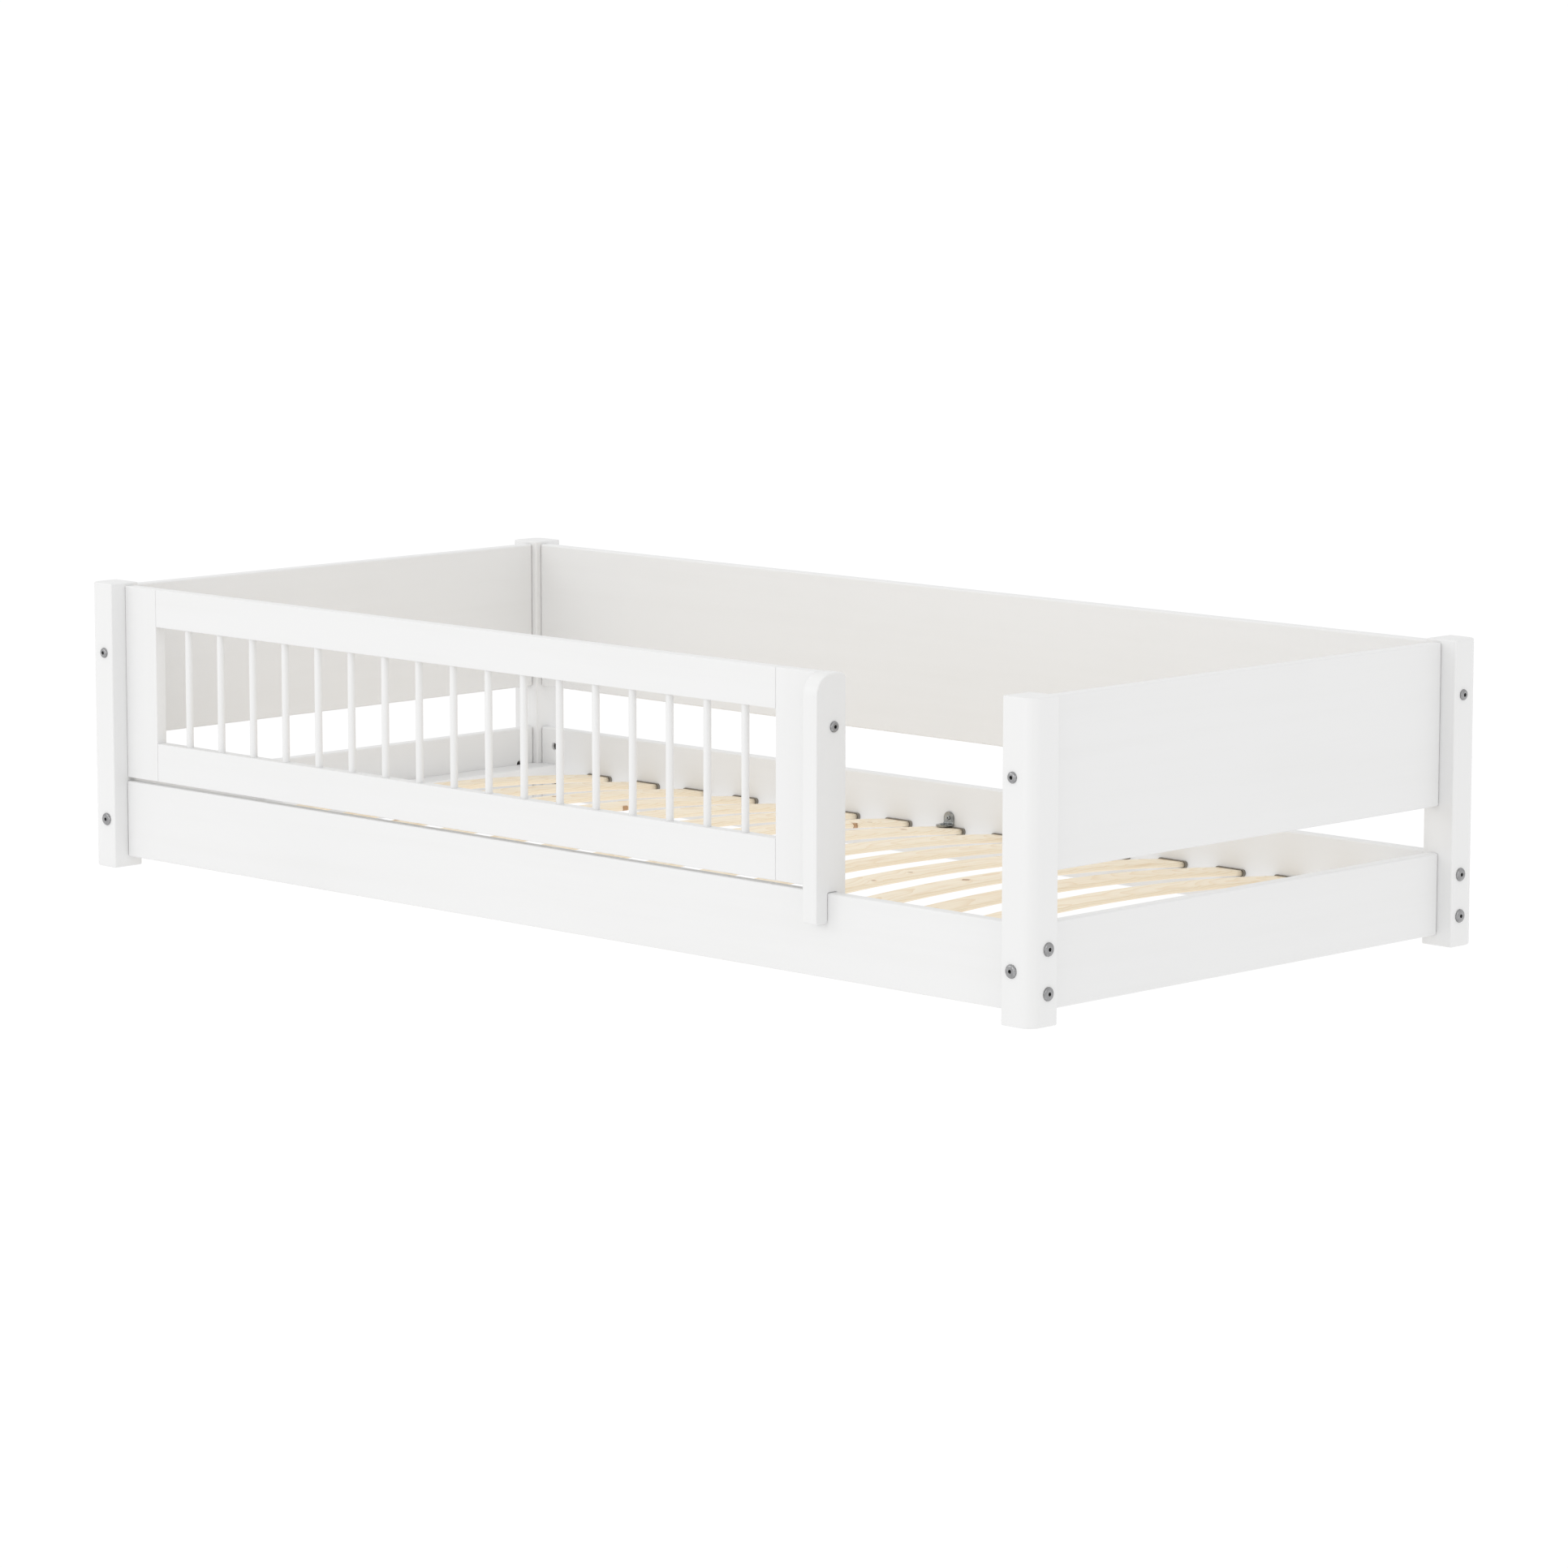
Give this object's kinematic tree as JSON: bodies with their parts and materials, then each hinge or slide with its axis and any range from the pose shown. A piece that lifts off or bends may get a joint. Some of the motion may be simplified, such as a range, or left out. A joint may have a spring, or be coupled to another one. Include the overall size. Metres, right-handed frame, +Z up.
{
  "type": "toddler bed",
  "caption": "Low floor bed in white lacquered wood: square posts, plank rails and headboard panels, a half-length spindle guard, bowed pine slats and an open way in.",
  "frame": {"origin": "on the floor, under the middle of the bed", "axes": "+X along the bed, from the end with the guard to the end with the open way in; +Y from the front, which has the guard, to the back; +Z up"},
  "size_m": [2.1076, 1.0176, 0.472],
  "materials": {
    "white_paint": "solid pine under white satin lacquer",
    "pine": "bare planed pine, end caps in grey-brown plastic",
    "zinc_plate": "zinc plated",
    "bolt_steel": "zinc plated, satin"
  },
  "bodies": {
    "root": {"back_panel": "white_paint", "back_panel_bolt_left": "bolt_steel", "back_panel_bolt_right": "bolt_steel", "bracket_rail_screw_back": "zinc_plate", "bracket_rail_screw_front": "zinc_plate", "bracket_slat_screw_back": "zinc_plate", "bracket_slat_screw_front": "zinc_plate", "end_cleat_left": "white_paint", "end_cleat_right": "white_paint", "end_panel_bolt_back_left": "bolt_steel", "end_panel_bolt_back_right": "bolt_steel", "end_panel_bolt_front_left": "bolt_steel", "end_panel_bolt_front_right": "bolt_steel", "end_panel_left": "white_paint", "end_panel_right": "white_paint", "end_rail_bolt_back_left": "bolt_steel", "end_rail_bolt_back_right": "bolt_steel", "end_rail_bolt_front_left": "bolt_steel", "end_rail_bolt_front_right": "bolt_steel", "end_rail_left": "white_paint", "end_rail_right": "white_paint", "guard_bolt_post": "bolt_steel", "guard_bolt_support": "bolt_steel", "guard_bottom_rail_with_spindles": "white_paint", "guard_stile_left": "white_paint", "guard_stile_right": "white_paint", "guard_support": "white_paint", "guard_top_rail": "white_paint", "post_back_left": "white_paint", "post_back_right": "white_paint", "post_front_left": "white_paint", "post_front_right": "white_paint", "side_rail_back": "white_paint", "side_rail_bolt_back_left_lower": "bolt_steel", "side_rail_bolt_back_left_upper": "bolt_steel", "side_rail_bolt_back_right_lower": "bolt_steel", "side_rail_bolt_back_right_upper": "bolt_steel", "side_rail_bolt_front_left_lower": "bolt_steel", "side_rail_bolt_front_left_upper": "bolt_steel", "side_rail_bolt_front_right_lower": "bolt_steel", "side_rail_bolt_front_right_upper": "bolt_steel", "side_rail_front": "white_paint", "slat_01": "pine", "slat_02": "pine", "slat_03": "pine", "slat_04": "pine", "slat_05": "pine", "slat_06": "pine", "slat_07": "pine", "slat_08": "pine", "slat_09": "pine", "slat_10": "pine", "slat_11": "pine", "slat_12": "pine", "slat_13": "pine", "slat_14": "pine", "slat_15": "pine", "slat_bracket_back": "zinc_plate", "slat_bracket_front": "zinc_plate"}
  },
  "joints": []
}
